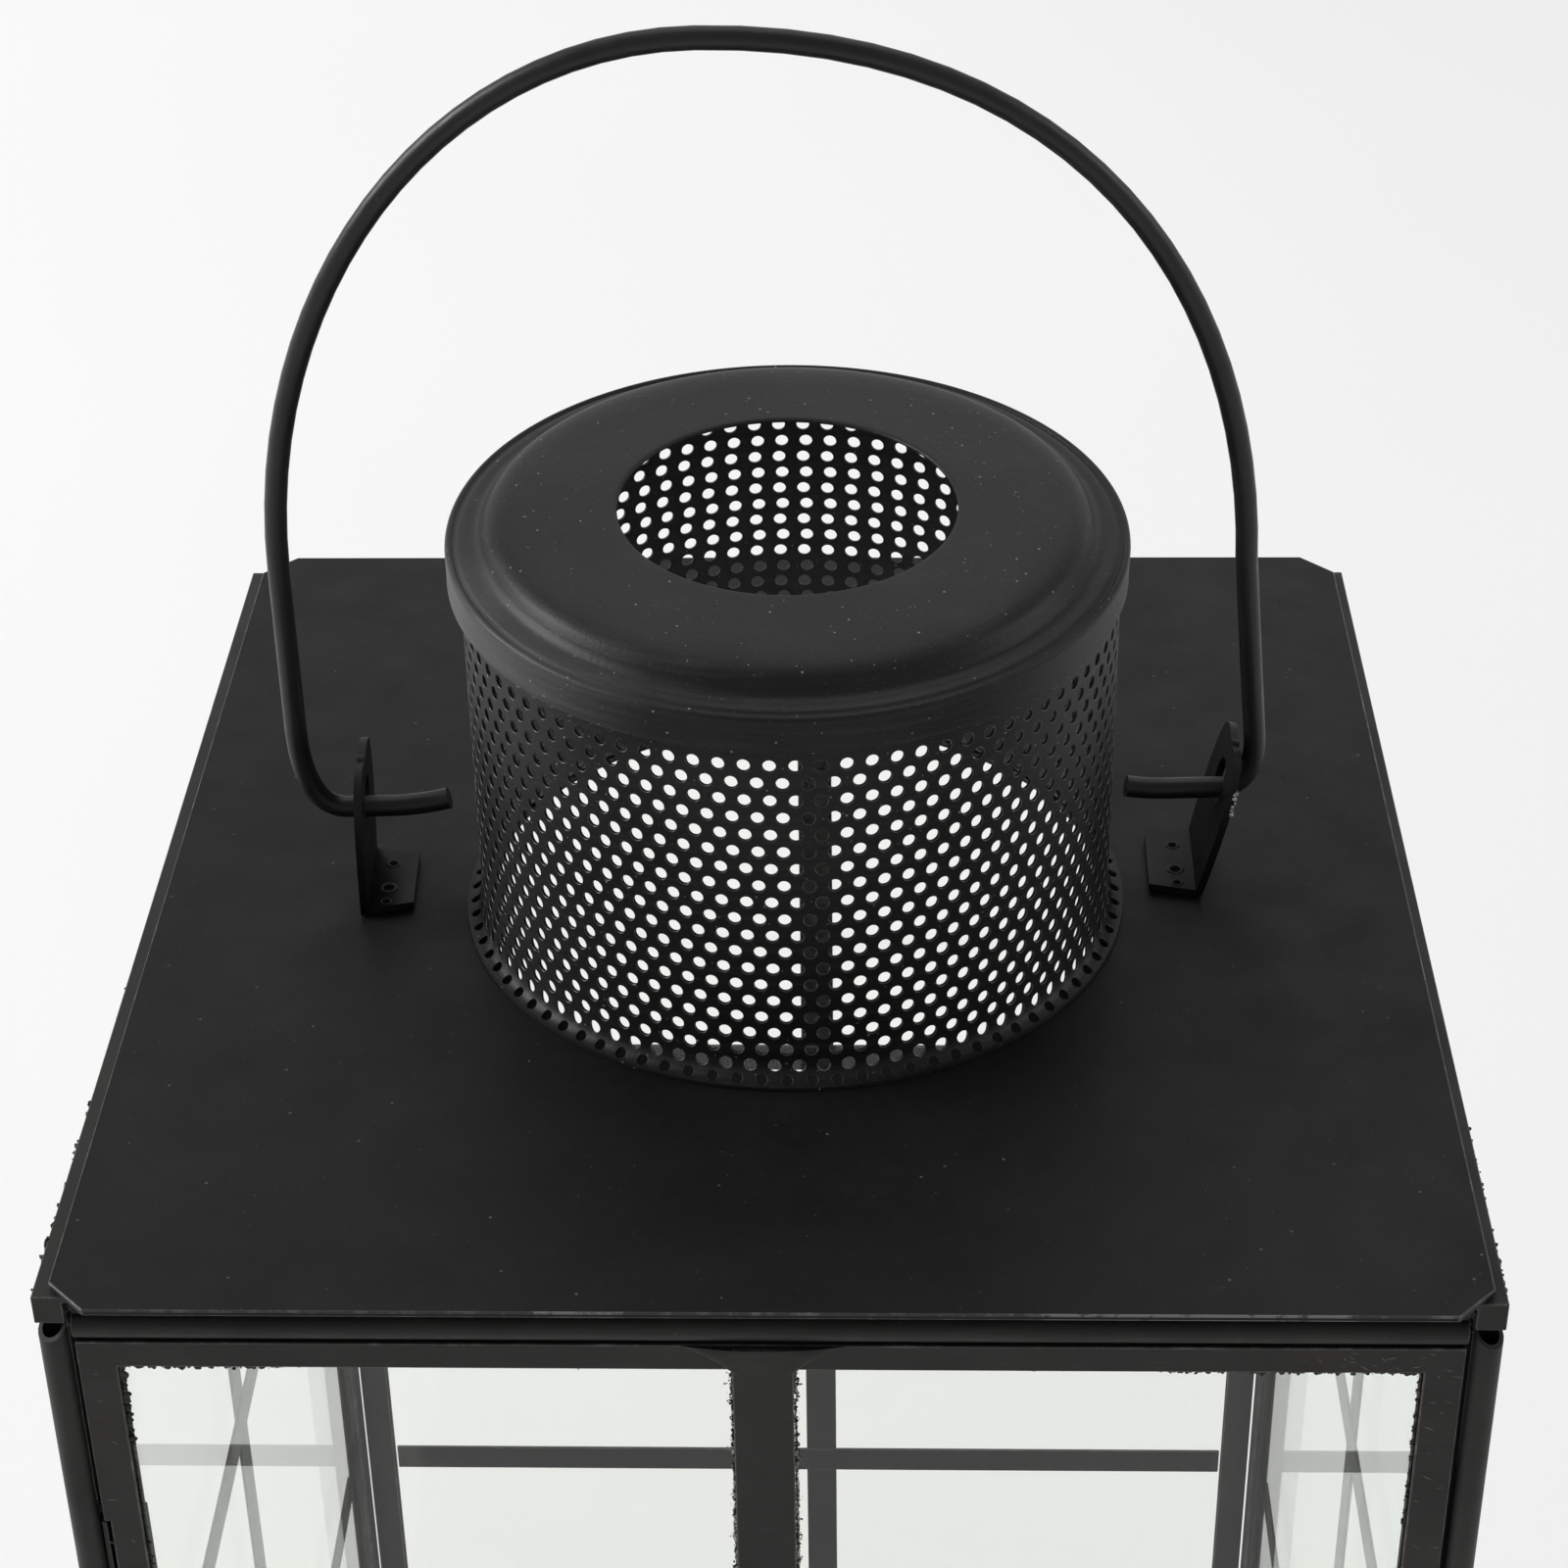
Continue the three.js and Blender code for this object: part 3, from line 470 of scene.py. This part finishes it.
def perforated_chimney():
    """The rolled sheet with staggered round holes, flaring out at its foot."""
    points, faces, marks = [], [], []
    pitch = 2 * math.pi * WALL_RADIUS / HOLES_AROUND
    first = WALL_HIGH.z - FIRST_ROW_Z
    end = WALL_HIGH.z - FLARE_START + FLARE_BEND * math.pi / 2
    rows = [first + ROW_STEP * k for k in range(HOLE_ROWS)] + [end - FOOT_ROW_INSET]
    halfway = [(a + b) / 2 for a, b in zip(rows, rows[1:])]
    cuts = [first - ROW_STEP / 2] + halfway + [end - FOOT_RIM]
    columns = 2 * HOLES_AROUND
    start = HOLE_PHASE % 0.5 * pitch
    plain_band(points, faces, marks, [0, cuts[0]], columns, start, pitch / 2)
    for k, down in enumerate(rows):
        for i in range(HOLES_AROUND):
            turn = (i + HOLE_PHASE + ((k + 1) % 2) / 2) * pitch / WALL_RADIUS
            backness = max(0.0, math.sin(turn)) ** 2
            slide = BACK_SLIDE * pitch * backness * (1 if k % 2 else -1)
            radius = FOOT_HOLE_RADIUS if k == HOLE_ROWS else HOLE_RADIUS
            hole_cell(points, faces, marks, (turn, down), slide, radius, cuts[k], cuts[k + 1], pitch)
    rim = end + max(FOOT_RADIUS - WALL_RADIUS - FLARE_BEND, 0.2 * MM)
    plain_band(points, faces, marks, [cuts[-1], end, rim], columns, start, pitch / 2)
    finishes = [PAINT["chimney_paint"], EDGE["chimney_paint"]]
    mesh = mesh_from("chimney_sheet", points, faces, finishes)
    for polygon, mark in zip(mesh.polygons, marks):
        polygon.material_index = mark
    form = bmesh.new()
    form.from_mesh(mesh)
    bmesh.ops.remove_doubles(form, verts=form.verts, dist=2e-6)
    bmesh.ops.recalc_face_normals(form, faces=form.faces)
    form.to_mesh(mesh)
    form.free()
    shade(mesh, 40)
    stands_for = ["chimney_wall", "chimney_foot"]
    return place(mesh, "chimney_sheet", "root", stands_for=stands_for)


# The cap's sizes are in mm, and its heights are taken from the ring's top, before lift and tilt.
CAP_RADIUS = 50.6
CAP_BAND_FOOT = 59.8
CAP_SHEET = 0.6
CAP_HOLE = 25.1
CAP_TILT_SIDE = Matrix.Rotation(math.radians(0.57), 4, "Y")
CAP_TILT_FORWARD = Matrix.Rotation(math.radians(2.36), 4, "X")
CAP_TILT = CAP_TILT_SIDE @ CAP_TILT_FORWARD
CAP_TILT_HEIGHT = 62
CAP_LIFT = 0.95
CAP_SHIFT_X = -0.4


def cap_face():
    """The cap's outer face from the band's foot to the rim of the hole, in mm."""
    knots = [
        (CAP_RADIUS, CAP_BAND_FOOT), (CAP_RADIUS - 0.02, 61.5), (CAP_RADIUS, 63.6), (CAP_RADIUS, 64.9),
        (50.35, 65.45), (49.95, 65.62), (49.6, 65.45), (49.35, 65.3), (49.0, 65.42), (48.5, 65.7),
        (47.7, 65.82), (46.8, 65.86), (46.0, 66.15), (45.3, 66.8), (44.7, 67.65), (43.9, 68.5),
        (42.4, 69.25), (40.2, 69.65), (37.2, 69.8), (34, 69.8), (29, 69.8), (26, 69.8),
        (25.4, 69.72), (CAP_HOLE, 69.5),
    ]
    return [(p.x, p.y) for p in smooth_line([(r, z, 0) for r, z in knots], 4)]


def chimney_cap():
    """The pressed lid, turned round its own axis and set slightly askew on the wall."""
    outside = cap_face()
    under = [
        (CAP_HOLE, 69.2), (37, 69.2), (42, 68.7), (44, 67.3), (45.2, 65.7), (46.4, 65.2),
        (49.2, 65.1), (CAP_RADIUS - CAP_SHEET, 64.6), (CAP_RADIUS - CAP_SHEET, CAP_BAND_FOOT),
    ]
    points, faces = turned(outside + under, 192)
    height = RING_TOP / MM + CAP_TILT_HEIGHT + CAP_LIFT
    lift = Vector((CHIMNEY_X / MM + CAP_SHIFT_X, CHIMNEY_Y / MM, height))
    tilted = [(CAP_TILT @ Vector((x, y, z - CAP_TILT_HEIGHT)) + lift) * MM for x, y, z in points]
    outward = [tuple(reversed(face)) for face in faces]
    mesh = mesh_from("chimney_lid", tilted, outward, [PAINT["chimney_paint"]], 50)
    return place(mesh, "chimney_lid", "root", stands_for=["chimney_cap"])


# ---------- bail ----------
BAIL_TURN = math.radians(2.45)
PIVOT = Vector((0, -0.8 * MM, RING_TOP + 16.6 * MM))
WIRE_RADIUS = 1.7 * MM


def bail_wire():
    """The bent wire as one smooth tube, on the same bends as the CAD wire."""
    bends = [
        ((-51.8, 1.2), (-54.9, 0.4), (-58.0, 0), (-61.2, 0)),
        ((-61.2, 0), (-63.3, 0), (-65.4, 0), (-67.6, 0)),
        ((-67.6, 0), (-71.3, 0), (-74.6, 3.4), (-74.6, 15)),
        ((-74.6, 15), (-74.6, 24), (-74.6, 33), (-74.6, 42.3)),
        ((-74.6, 42.3), (-74.6, 88.5), (-46.2, 124.4), (-10.2, 124.4)),
        ((-10.2, 124.4), (42.3, 124.4), (69.2, 86.6), (70.6, 40.4)),
        ((70.6, 40.4), (71.6, 30), (72.6, 20), (73.6, 10)),
        ((73.6, 10), (74.4, 3.4), (71.9, 0), (68.6, 0)),
        ((68.6, 0), (65.8, 0), (63, 0), (60.2, 0)),
        ((60.2, 0), (58.1, 0), (56.1, 0.2), (54, 0.6)),
    ]
    curve = bpy.data.curves.new("bail_wire_fine", "CURVE")
    curve.dimensions = "3D"
    curve.bevel_depth = WIRE_RADIUS
    curve.bevel_resolution = 6
    curve.resolution_u = 24
    curve.use_fill_caps = True
    spline = curve.splines.new("BEZIER")
    spline.bezier_points.add(len(bends))
    turn = Matrix.Rotation(BAIL_TURN, 4, "Z")

    def at(p):
        return PIVOT + turn @ Vector((p[0] * MM, 0, p[1] * MM))

    for i, bend in enumerate(bends):
        start, end = spline.bezier_points[i], spline.bezier_points[i + 1]
        start.co, start.handle_right = at(bend[0]), at(bend[1])
        end.handle_left, end.co = at(bend[2]), at(bend[3])
    first, last = spline.bezier_points[0], spline.bezier_points[-1]
    first.handle_left = first.co
    last.handle_right = last.co
    curve.materials.append(PAINT["wire_paint"])
    return place(curve, "bail_wire_fine", "bail", stands_for=["bail_wire"])


def weld_spots(side_name):
    """Three spot welds on an ear's foot: sooty dimples, each with a low raised rim."""
    low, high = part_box("bail_ear_" + side_name)
    side = -1 if side_name == "left" else 1
    x = (low.x + 4.4 * MM) if side > 0 else (high.x - 4.4 * MM)
    top = ROOF_TOP + 1.5 * MM
    points, faces, marks = [], [], []
    for y, size in ((low.y + 3.4 * MM, 0.7), (low.y + 7.2 * MM, 1.0), (low.y + 14 * MM, 0.8)):
        profile = [(0.05, 0.03), (0.85, 0.04), (1.1, 0.14), (1.35, 0.08), (1.5, -0.05), (0.05, -0.05)]
        ring, ring_faces = turned([(r * size * MM, z * MM) for r, z in profile], 28)
        start = len(points)
        points += [(x + px, y + py, top + pz) for px, py, pz in ring]
        faces += [tuple(reversed([start + i for i in face])) for face in ring_faces]
        marks += [1 if k % len(profile) == 0 else 0 for k in range(len(ring_faces))]
    mesh = mesh_from("weld_spots_" + side_name, points, faces, [PAINT["ear_paint"], PIT], 60)
    for polygon, mark in zip(mesh.polygons, marks):
        polygon.material_index = mark
    return place(mesh, "weld_spots_" + side_name, "root")


# ---------- residue and solder ----------
BEAD_STEP = 0.35 * MM
DOOR_WINDOW_DROP = 13.4 * MM
DOOR_STILE_EDGE = 89.5 * MM


def ragged_bead(name, start, end, width, lift, normal, seed, body, material, slot="frame_paint"):
    """A thin uneven bead along a line, lying on a face."""
    rng = random.Random(seed)
    start, end, normal = Vector(start), Vector(end), Vector(normal)
    along = (end - start).normalized()
    across = along.cross(normal).normalized()
    length = (end - start).length
    count = max(int(length / BEAD_STEP), 4)
    points, faces = [], []
    for i in range(count + 1):
        t = i / count
        swell = 0.55 + 0.9 * abs(noise.noise(Vector((seed, t * length / MM * 0.35, 0))))
        swell *= 0.3 + 0.7 * min(1.0, 8 * t, 8 * (1 - t))
        half = width * swell * (0.35 + 0.3 * rng.random())
        height = lift * (0.4 + 0.8 * rng.random()) * swell
        shift = width * 0.3 * noise.noise(Vector((t * length / MM * 0.6, seed, 1)))
        spine = start + along * length * t + across * shift
        points += [
            spine - across * half - normal * 0.05 * MM,
            spine - across * half * 0.45 + normal * height,
            spine + across * half * 0.5 + normal * height * 0.8,
            spine + across * half - normal * 0.05 * MM,
        ]
    for i in range(count):
        a, b = 4 * i, 4 * (i + 1)
        for k in range(4):
            after = (k + 1) % 4
            faces.append((a + k, a + after, b + after, b + k))
    faces.append((3, 2, 1, 0))
    last = 4 * count
    faces.append((last, last + 1, last + 2, last + 3))
    mesh = mesh_from(name, points, faces, [material], 60)
    return place(mesh, name, body)


def crumbs(name, start, end, spread, size, count, seed, body, material, slot="frame_paint"):
    """Small uneven lumps scattered along a line, thicker towards its start."""
    rng = random.Random(seed)
    start, end = Vector(start), Vector(end)
    form = bmesh.new()
    for _ in range(count):
        spot = start.lerp(end, rng.random() ** 1.3)
        spot += Vector((rng.gauss(0, spread), rng.uniform(-0.5, 0.1) * size, rng.gauss(0, spread)))
        scale = size * (0.35 + 0.95 * rng.random() ** 2)
        stretch = Vector((rng.uniform(0.7, 1.6), 0.7, rng.uniform(0.7, 1.6)))
        for vert in bmesh.ops.create_icosphere(form, subdivisions=1, radius=1)["verts"]:
            uneven = rng.uniform(0.75, 1.2) * scale
            vert.co = spot + Vector(a * b for a, b in zip(vert.co, stretch)) * uneven
    mesh = bpy.data.meshes.new(name)
    form.to_mesh(mesh)
    form.free()
    mesh.materials.append(material)
    shade(mesh, 50)
    return place(mesh, name, body)


def door_residue():
    """Glue and solder crumbs along the door's strip and rail and in the upper corners of its glass."""
    strip_low, strip_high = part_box("upright_strip_door")
    frame_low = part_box("door_frame")[0]
    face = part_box("glass_door")[0].y - 0.05 * MM
    out = (0, -1, 0)
    rail = RING_TOP - DOOR_WINDOW_DROP
    foot = frame_low.z + 9 * MM
    for name, x, seed in (("left", strip_low.x - 0.2 * MM, 11), ("right", strip_high.x + 0.2 * MM, 12)):
        line = ((x, face, rail), (x, face, foot))
        ragged_bead("glue_strip_" + name, *line, 0.95 * MM, 0.4 * MM, out, seed, "door", GLUE)
        near = (x, face - 0.25 * MM, rail), (x, face - 0.25 * MM, rail - 60 * MM)
        crumbs("crumbs_strip_" + name, *near, 0.2 * MM, 0.2 * MM, 280, seed + 20, "door", SOLDER)
        crumbs("flecks_strip_" + name, *near, 0.4 * MM, 0.2 * MM, 150, seed + 30, "door", GLUE)
    stile = DOOR_STILE_EDGE
    under = rail - 0.3 * MM
    # Each row: name, start, end, how many crumbs, and their size in mm.
    edges = (
        ("corner_left", (-stile, face, under), (-stile + 22 * MM, face, under), 120, 0.34),
        ("corner_left_down", (-stile, face, rail), (-stile, face, rail - 15 * MM), 130, 0.42),
        ("corner_left_low", (-stile, face, rail), (-stile, face, rail - 60 * MM), 120, 0.22),
        ("corner_right", (stile, face, under), (stile - 36 * MM, face, under), 200, 0.34),
        ("corner_right_down", (stile, face, rail), (stile, face, rail - 30 * MM), 90, 0.26),
        ("rail", (-stile, face, under), (stile, face, under), 80, 0.2),
    )
    for k, (name, start, end, count, size) in enumerate(edges):
        spread = size * 0.55 * MM
        crumbs("crumbs_" + name, start, end, spread, size * MM, count, 50 + k, "door", SOLDER)


def ring_crumbs():
    """Lumps of paint and solder along the outer edge of the ring under the roof."""
    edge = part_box("top_frame")[1].x - 0.1 * MM
    z = RING_TOP - 0.7 * MM
    corner_end = (-98.5 * MM, z - 2.5 * MM)
    # Each row: name, start, end, how many crumbs, and their size in mm.
    lines = (
        ("left", (-edge, -92 * MM, z), (-edge, -55 * MM, z), 90, 0.4),
        ("left_far", (-edge, -60 * MM, z), (-edge, 80 * MM, z), 30, 0.18),
        ("right", (edge, -97 * MM, z), (edge, -58 * MM, z), 80, 0.32),
        ("corner_left", (-edge, -97.5 * MM, z), (-edge + 5 * MM, *corner_end), 46, 0.5),
        ("corner_right", (edge, -97.5 * MM, z), (edge - 5 * MM, *corner_end), 46, 0.5),
    )
    for k, (name, start, end, count, size) in enumerate(lines):
        crumbs("crumbs_ring_" + name, start, end, 0.14 * MM, size * MM, count, 70 + k, "root", SOLDER)


def scratches(name, spots, length, seed, body):
    """Fine bright scratches: slivers of bare metal lying on a front face."""
    rng = random.Random(seed)
    points, faces = [], []
    for x, y, z in spots:
        lean = rng.uniform(-0.9, 0.3)
        reach = length * rng.uniform(0.4, 1.2)
        half = 0.04 * MM * rng.uniform(0.6, 1.6)
        along = Vector((math.cos(lean), 0, math.sin(lean))) * reach / 2
        across = Vector((-math.sin(lean), 0, math.cos(lean))) * half
        centre = Vector((x, y, z))
        start = len(points)
        for depth in (-0.015 * MM, 0.03 * MM):
            shift = Vector((0, depth, 0))
            points += [centre + tip + shift for tip in (-along, -across, along, across)]
        faces += [tuple(start + k for k in (0, 1, 2, 3)), tuple(start + k for k in (7, 6, 5, 4))]
        faces += [tuple(start + k for k in (a, a + 4, (a + 1) % 4 + 4, (a + 1) % 4)) for a in range(4)]
    mesh = mesh_from(name, points, faces, [BARE])
    return place(mesh, name, body)


def wire_rub():
    """Bare specks on the right ear's edge, where the wire's bend rubs against it."""
    low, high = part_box("bail_ear_right")
    foot = (high.x - 1.9 * MM, low.y + 0.05 * MM, RING_TOP + 17.5 * MM)
    head = (high.x - 0.9 * MM, low.y + 0.8 * MM, RING_TOP + 22 * MM)
    crumbs("wire_rub_right", foot, head, 0.12 * MM, 0.22 * MM, 30, 91, "root", CHIPS, "ear_paint")


def door_scratches():
    """Scratches near the door's upper right corner and down its two stiles."""
    rng = random.Random(81)
    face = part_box("door_frame")[0].y

    def scattered(count, left, right, least_drop, most_drop):
        spots = []
        for _ in range(count):
            x = rng.uniform(left, right) * MM
            spots.append((x, face, RING_TOP - rng.uniform(least_drop, most_drop) * MM))
        return spots

    corner = scattered(16, 74, 94, 9.3, 12.8)
    right_stile = scattered(14, 90.5, 94.8, 13, 70)
    left_stile = scattered(8, -94.8, -90.5, 10, 60)
    spots = corner + right_stile + left_stile
    scratches("scratches_door", spots, 1.6 * MM, 82, "door")


def solder_fan():
    """The skin of solder that spreads from the strip's head over the rail."""
    strip_low, strip_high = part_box("upright_strip_door")
    centre = (strip_low.x + strip_high.x) / 2
    strip_half = (strip_high.x - strip_low.x) / 2 + 0.12 * MM
    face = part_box("door_frame")[0].y
    crown = face - strip_low.y
    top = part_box("door_frame")[1].z - 0.05 * MM
    points, faces = [], []
    rows = 18
    columns = 40
    drop = 8.5 * MM
    for i in range(rows + 1):
        t = i / rows
        spread = max(0.0, 1 - t * drop / (4.6 * MM))
        half = strip_half + 7.2 * MM * spread ** 1.3
        for k in range(columns + 1):
            s = 2 * k / columns - 1
            round_off = 1 - abs(s) ** (2.2 + 14 * (1 - spread))
            lump = 0.1 * MM * noise.noise(Vector((s * 3, t * 4, 5.5)))
            proud = (crown + 0.16 * MM * (1 - t) ** 0.6 - 0.06 * MM * t + lump * (1 - t)) * round_off
            points.append((centre + s * half, face - proud, top - drop * t))
    stride = columns + 1
    front_count = len(points)
    points += [(x, face + 0.02 * MM, z) for x, y, z in points]
    for i in range(rows):
        for k in range(columns):
            a = i * stride + k
            faces.append((a, a + stride, a + stride + 1, a + 1))
            faces.append(tuple(front_count + v for v in (a + 1, a + stride + 1, a + stride, a)))
    rim = list(range(stride))
    rim += [stride * i + columns for i in range(1, rows + 1)]
    rim += [stride * rows + k for k in range(columns - 1, -1, -1)]
    rim += [stride * i for i in range(rows - 1, 0, -1)]
    for a, b in zip(rim, rim[1:] + rim[:1]):
        faces.append((a, b, front_count + b, front_count + a))
    mesh = mesh_from("solder_fan_door", points, faces, [PAINT["frame_paint"]], 60)
    return place(mesh, "solder_fan_door", "door")


# ---------- the rest of the metal, with broken edges ----------
SIDES = ("left", "right", "back")
# How wide each node's broken edges are, in mm.
ROOT_EDGES = {
    "top_frame": 0.3, "door_stop": 0.15, "turn_button_rivet": 0.2,
    "post_front_left": 0.12, "post_front_right": 0.12, "post_back_left": 0.12, "post_back_right": 0.12,
}
for side in SIDES:
    ROOT_EDGES["wall_frame_" + side] = 0.25
    ROOT_EDGES["upright_strip_" + side] = 0.18
    ROOT_EDGES[f"cross_bar_{side}_upper"] = 0.18
    ROOT_EDGES[f"cross_bar_{side}_lower"] = 0.18
DOOR_EDGES = {
    "door_frame": 0.25, "upright_strip_door": 0.18,
    "cross_bar_door_upper": 0.18, "cross_bar_door_lower": 0.18,
    "hinge_strap_upper": 0.12, "hinge_strap_lower": 0.12, "door_knob": 0.1,
}
for node, width in ROOT_EDGES.items():
    softened(node, "root", "wire_paint" if node == "turn_button_rivet" else "frame_paint", width)
for node, width in DOOR_EDGES.items():
    softened(node, "door", "wire_paint" if node == "door_knob" else "frame_paint", width)
softened("base_tray", "root", "frame_paint", 0.25, paint="roof_paint")
softened("turn_button", "catch", "frame_paint", 0.15)
softened("roof_sheet", "root", "roof_paint", 0.28, 3)
for side in ("left", "right"):
    softened("bail_ear_" + side, "root", "ear_paint", 0.25, 3)
    weld_spots(side)
for name in ("door",) + SIDES:
    pane = nodes["glass_" + name]
    pane.data.materials.clear()
    pane.data.materials.append(PAINT["clear_glass"])

perforated_chimney()
chimney_cap()
bail_wire()
door_residue()
ring_crumbs()
door_scratches()
wire_rub()
solder_fan()


# ---------- stage ----------
FLOOR_REACH = 80
# The sky's strength by height and from front to back: axis, lowest, highest, and strength at each.
SKY_RAMPS = (("Z", 0, 1, 0.82, 0.3), ("Y", -1, 1, 0.55, 1.12))
# Each soft box: name, place and power.
SOFT_BOXES = (("left_box", (-4.6, 0.6, 3.1), 262), ("right_box", (4.8, 0.4, 2.7), 50))
BOX_TARGET = (0, 0, 0.33)
BOX_SIZE = 2.7
CAMERA_PLACE = (14.7 * MM, -452.78 * MM, 641.86 * MM)
LENS = 79.2


def floor():
    """A wide pale floor a hair below the tray."""
    n = Nodes("pale_floor")
    tone = n.blend(n.ramp(n.cloud(1.5, 2), 0.3, 0.7), (0.84, 0.84, 0.837, 1), (0.86, 0.86, 0.857, 1))
    material = n.finish(Base_Color=tone, Roughness=0.9, Specular_IOR_Level=0.1)
    corners = ((-1, -1), (1, -1), (1, 1), (-1, 1))
    points = [(x * FLOOR_REACH, y * FLOOR_REACH, 0) for x, y in corners]
    mesh = mesh_from("studio_floor", points, [(0, 1, 2, 3)], [material])
    obj = bpy.data.objects.new("studio_floor", mesh)
    obj.location.z = -0.2 * MM
    bpy.context.scene.collection.objects.link(obj)


def studio_light():
    """A soft sky, palest low down and behind the lantern, two soft boxes and a broad light from above."""
    world = bpy.data.worlds.new("studio")
    bpy.context.scene.world = world
    world.use_nodes = True
    tree = world.node_tree
    direction = tree.nodes.new("ShaderNodeTexCoord").outputs["Generated"]
    split = tree.nodes.new("ShaderNodeSeparateXYZ")
    tree.links.new(direction, split.inputs[0])
    parts = []
    for axis, low, high, at_low, at_high in SKY_RAMPS:
        ramp = tree.nodes.new("ShaderNodeMapRange")
        tree.links.new(split.outputs[axis], ramp.inputs["Value"])
        ramp.inputs["From Min"].default_value = low
        ramp.inputs["From Max"].default_value = high
        ramp.inputs["To Min"].default_value = at_low
        ramp.inputs["To Max"].default_value = at_high
        parts.append(ramp.outputs["Result"])
    product = tree.nodes.new("ShaderNodeMath")
    product.operation = "MULTIPLY"
    tree.links.new(parts[0], product.inputs[0])
    tree.links.new(parts[1], product.inputs[1])
    sky = tree.nodes["Background"]
    sky.inputs["Color"].default_value = (1, 1, 1, 1)
    tree.links.new(product.outputs[0], sky.inputs["Strength"])
    for name, spot, power in SOFT_BOXES:
        soft_box(name, spot, BOX_TARGET, BOX_SIZE, power)
    skylight = bpy.data.lights.new("skylight", "SUN")
    skylight.energy = 0.56
    skylight.angle = math.radians(50)
    light = bpy.data.objects.new("skylight", skylight)
    bpy.context.scene.collection.objects.link(light)
    light.rotation_euler = (math.radians(-25), math.radians(3), 0)


def soft_box(name, spot, target, size, power):
    """A square area light at a spot, facing its target."""
    data = bpy.data.lights.new(name, "AREA")
    data.shape = "SQUARE"
    data.size = size
    data.energy = power
    light = bpy.data.objects.new(name, data)
    bpy.context.scene.collection.objects.link(light)
    light.location = spot
    light.rotation_euler = (Vector(target) - Vector(spot)).to_track_quat("-Z", "Y").to_euler()


def camera():
    """The photograph's viewpoint: above the roof, looking down on it from in front of the door."""
    pitch, yaw, roll = math.radians(32.93), math.radians(1.80), math.radians(-0.93)
    up = Vector((0, 0, 1))
    level_right = Vector((math.cos(yaw), math.sin(yaw), 0))
    level_ahead = Vector((-math.sin(yaw), math.cos(yaw), 0))
    ahead = level_ahead * math.cos(pitch) - up * math.sin(pitch)
    above = level_ahead * math.sin(pitch) + up * math.cos(pitch)
    right = level_right * math.cos(roll) + above * math.sin(roll)
    top = above * math.cos(roll) - level_right * math.sin(roll)
    data = bpy.data.cameras.new("camera")
    data.sensor_width = 36
    data.lens = LENS
    obj = bpy.data.objects.new("camera", data)
    bpy.context.scene.collection.objects.link(obj)
    turn = Matrix((right, top, -ahead)).transposed().to_4x4()
    obj.matrix_world = Matrix.Translation(CAMERA_PLACE) @ turn
    bpy.context.scene.camera = obj


floor()
studio_light()
camera()
bpy.context.scene.view_settings.view_transform = "Standard"
